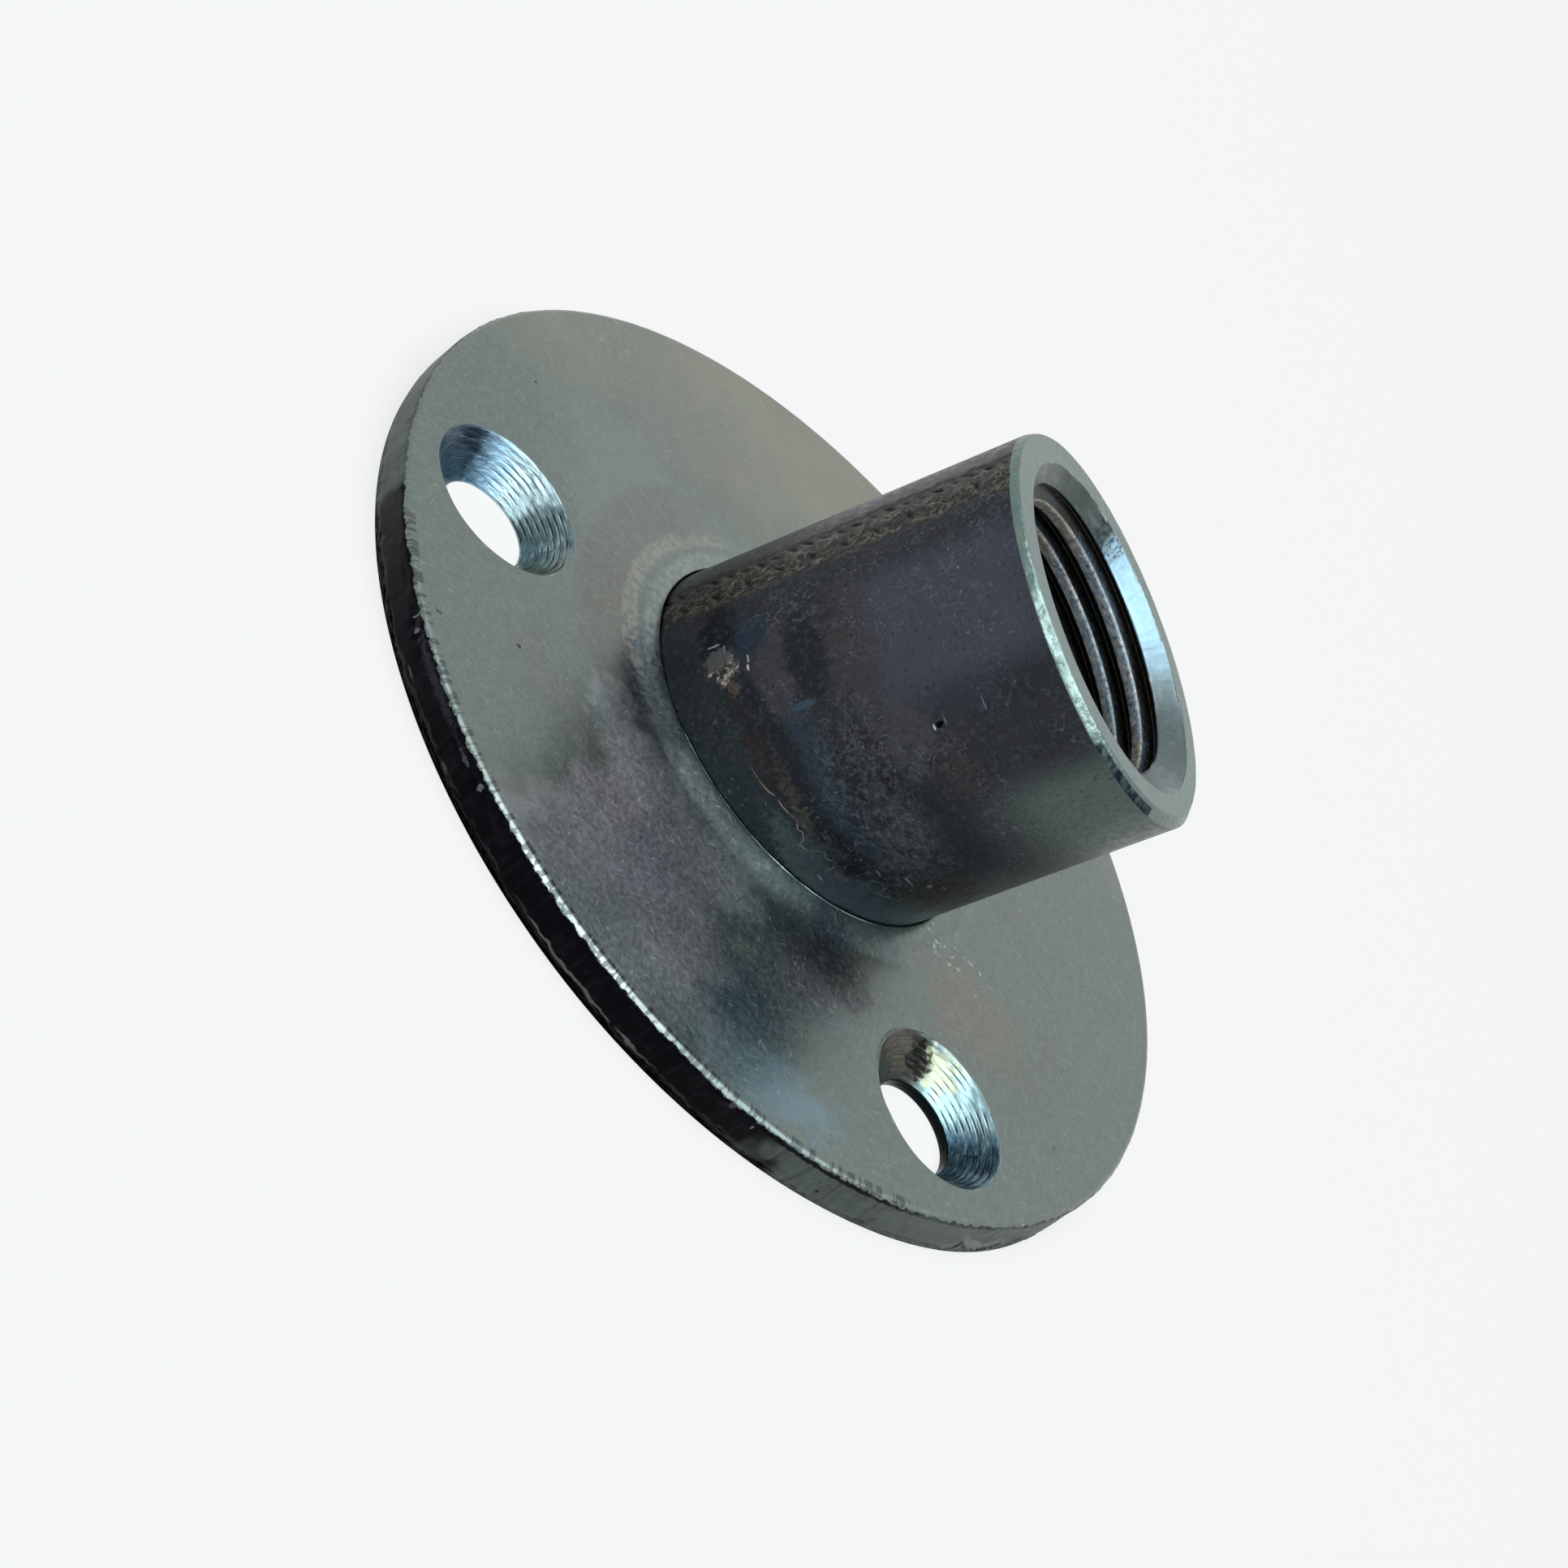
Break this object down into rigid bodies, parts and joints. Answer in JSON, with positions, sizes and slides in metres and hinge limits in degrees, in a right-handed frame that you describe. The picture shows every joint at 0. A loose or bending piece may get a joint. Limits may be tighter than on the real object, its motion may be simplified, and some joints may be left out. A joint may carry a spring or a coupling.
{
  "type": "angle flange",
  "caption": "Round zinc-plated steel wall flange with a short threaded pipe socket welded on at a slant and countersunk screw holes round its rim.",
  "frame": {"origin": "centre of the plate's back face, the face that lies against the wall", "axes": "+Z out of the plate's front face, +X the way the socket leans"},
  "size_m": [0.07, 0.07, 0.0278],
  "materials": {
    "plated_sheet": "bright zinc plating with a clear bluish passivation on punched sheet",
    "plated_tube": "bright zinc plating, darker and tinted, on drawn tube"
  },
  "bodies": {
    "root": {"flange_plate": "plated_sheet", "threaded_socket": "plated_tube"}
  },
  "joints": []
}
